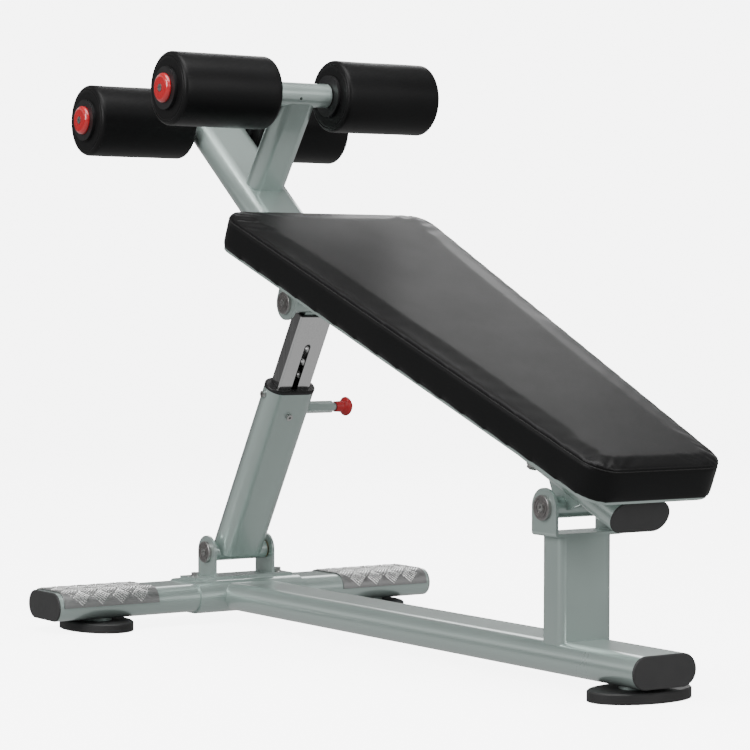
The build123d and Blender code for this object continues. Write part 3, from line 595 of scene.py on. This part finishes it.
def tread_bar(centre, direction, long, wide, bend):
    """Flat (s, y, lift) rings of one raised bar: domed, rounded at its ends and slightly curved."""
    across = (-direction[1], direction[0])
    rings = []
    for height, grow in ((-0.0006, 1.0), (0.0, 1.0), (0.55, 0.9), (0.9, 0.62), (1.0, 0.3)):
        ring = []
        for k in range(20):
            angle = 2 * math.pi * k / 20
            end = math.copysign(long / 2 - wide / 2, math.cos(angle))
            a = end + wide / 2 * grow * math.cos(angle)
            c = wide / 2 * grow * math.sin(angle) + bend * (1 - (2 * a / long) ** 2)
            lift = height if height < 0 else height * TREAD_RISE
            ring.append((centre[0] + a * direction[0] + c * across[0], centre[1] + a * direction[1] + c * across[1], lift))
        rings.append(ring)
    return rings


def make_tread(name, side):
    """Raised bars in a basket weave, all over one foot rest's metal sheet."""
    low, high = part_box("tread_plates")
    axis_x = (low.x + high.x) / 2
    y0, y1 = sorted((side * 0.196, side * 0.384))
    half_s = TREAD_FLAT + TREAD_SHEET_R * math.pi / 2
    step = TREAD_CELL / math.sqrt(2)
    points = []
    faces = []
    rows = int(half_s / step) + 2
    columns = int((y1 - y0) / step) + 3
    for row in range(-rows, rows + 1):
        direction = (math.sqrt(0.5), math.sqrt(0.5) * (1 if row % 2 else -1))
        across = (-direction[1], direction[0])
        for column in range(-columns, columns + 1):
            if (row + column) % 2:
                continue
            middle = (row * step, (y0 + y1) / 2 + column * step)
            for bar in range(TREAD_BARS):
                shift = (bar - (TREAD_BARS - 1) / 2) * TREAD_CELL / TREAD_BARS
                centre = (middle[0] + shift * across[0], middle[1] + shift * across[1])
                rings = tread_bar(centre, direction, 0.0235, 0.0034, 0.0012)
                outer = rings[1]
                edge_s = max(abs(p[0]) for p in outer)
                if edge_s > half_s - 0.0025 or min(p[1] for p in outer) < y0 + 0.002 or max(p[1] for p in outer) > y1 - 0.002:
                    continue
                first = len(points)
                for ring in rings:
                    points += [tread_point(s, y, lift, axis_x, high.z) for s, y, lift in ring]
                for r in range(len(rings) - 1):
                    for k in range(20):
                        m = (k + 1) % 20
                        a = first + r * 20
                        faces.append((a + k, a + m, a + 20 + m, a + 20 + k))
                faces.append(tuple(first + 80 + k for k in range(20)))
                faces.append(tuple(first + 19 - k for k in range(20)))
    piece = new_piece(name, points, faces, "tread")
    outward(piece)
    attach(piece, "base")


# ==== studio ======================================================================================


def make_floor():
    """Pale floor that sweeps up into a wall far behind the bench."""
    rows = [(-9, 0), (6, 0)]
    rows += [(6 + 2 * math.sin(a), 2 - 2 * math.cos(a)) for a in np.linspace(0, math.pi / 2, 14)[1:]]
    rows.append((8, 7))
    azimuth = math.radians(CAMERA_AZIMUTH)
    away = Vector((-math.sin(azimuth), math.cos(azimuth), 0))
    across = Vector((math.cos(azimuth), math.sin(azimuth), 0))
    points = []
    for distance, height in rows:
        for side in (-9, 9):
            points.append(away * distance + across * side + Vector((0, 0, height - 0.0005)))
    faces = [(2 * k, 2 * k + 1, 2 * k + 3, 2 * k + 2) for k in range(len(rows) - 1)]
    material, tree, bsdf = shader("studio_floor", Roughness=0.9, Specular_IOR_Level=0.1)
    bsdf.inputs["Emission Color"].default_value = (1, 1, 1, 1)
    bsdf.inputs["Emission Strength"].default_value = 6.0
    grain = noise(tree, 3, 3)
    tree.links.new(tint(tree, grain, (0.86, 0.86, 0.86), (0.9, 0.9, 0.9)), bsdf.inputs["Base Color"])
    MATERIALS["floor"] = material
    floor = new_piece("studio_floor", points, faces, "floor")
    # The floor shows bright but lights nothing: the room light below is the world's.
    floor.visible_diffuse = False
    floor.visible_glossy = False


def make_world():
    """Soft room light: bright above, a dim band at eye level and a pale floor bounce."""
    world = bpy.data.worlds.new("studio")
    bpy.context.scene.world = world
    world.use_nodes = True
    tree = world.node_tree
    tree.nodes.clear()
    coord = tree.nodes.new("ShaderNodeTexCoord")
    split = tree.nodes.new("ShaderNodeSeparateXYZ")
    tree.links.new(coord.outputs["Generated"], split.inputs["Vector"])
    bands = tree.nodes.new("ShaderNodeValToRGB")
    stops = [(0.0, 0.5), (0.4, 0.5), (0.49, 0.08), (0.55, 0.1), (0.64, 0.9), (0.73, 0.2), (0.88, 0.16), (1.0, 0.8)]
    while len(bands.color_ramp.elements) < len(stops):
        bands.color_ramp.elements.new(0.5)
    for element, (place, grey) in zip(bands.color_ramp.elements, stops):
        element.position = place
        element.color = (grey, grey, grey, 1)
    tree.links.new(ramp(tree, split.outputs["Z"], 0, 1, -1, 1), bands.inputs["Fac"])
    background = add(tree, "ShaderNodeBackground", Strength=1.0)
    tree.links.new(bands.outputs["Color"], background.inputs["Color"])
    output = tree.nodes.new("ShaderNodeOutputWorld")
    tree.links.new(background.outputs["Background"], output.inputs["Surface"])


def softbox(name, place, target, size, power):
    light = bpy.data.lights.new(name, "AREA")
    light.shape = "RECTANGLE"
    light.size, light.size_y = size
    light.energy = power
    lamp = bpy.data.objects.new(name, light)
    lamp.location = place
    lamp.rotation_euler = (Vector(target) - Vector(place)).to_track_quat("-Z", "Y").to_euler()
    bpy.context.scene.collection.objects.link(lamp)


def make_lights():
    softbox("overhead", (0.6, -0.4, 3.4), (0, 0, 0.4), (2.6, 2.2), 105)
    softbox("key_left", (0.4, -3.4, 2.2), (0, 0, 0.5), (1.6, 2.2), 110)
    softbox("front_right", (3.6, 0.9, 1.7), (0, 0, 0.5), (1.2, 2.2), 55)
    softbox("rear_fill", (-3.0, 2.6, 2.4), (0, 0, 0.5), (2.0, 1.6), 35)


def make_camera():
    azimuth, pitch = math.radians(CAMERA_AZIMUTH), math.radians(CAMERA_PITCH)
    forward = Vector((-math.sin(azimuth) * math.cos(pitch), math.cos(azimuth) * math.cos(pitch), -math.sin(pitch)))
    level = forward.cross(Vector((0, 0, 1))).normalized()
    above = level.cross(forward)
    roll = math.radians(CAMERA_ROLL)
    right = level * math.cos(roll) + above * math.sin(roll)
    up = above * math.cos(roll) - level * math.sin(roll)
    low, high = (Vector(corner) for corner in cad_box)
    aim = (low + high) / 2 + AIM_OFFSET
    camera = bpy.data.cameras.new("photo_camera")
    camera.lens = CAMERA_LENS
    camera.sensor_width = 36
    camera.clip_end = 60
    holder = bpy.data.objects.new("photo_camera", camera)
    turn = Matrix((right, up, -forward)).transposed().to_4x4()
    holder.matrix_world = Matrix.Translation(aim - forward * CAMERA_DISTANCE) @ turn
    bpy.context.scene.collection.objects.link(holder)
    bpy.context.scene.camera = holder


make_camera()
finish_cad_nodes()
make_cushion()
make_pad_seam()
make_rollers()
make_tread("tread_bars_left", -1)
make_tread("tread_bars_right", 1)
make_floor()
make_world()
make_lights()
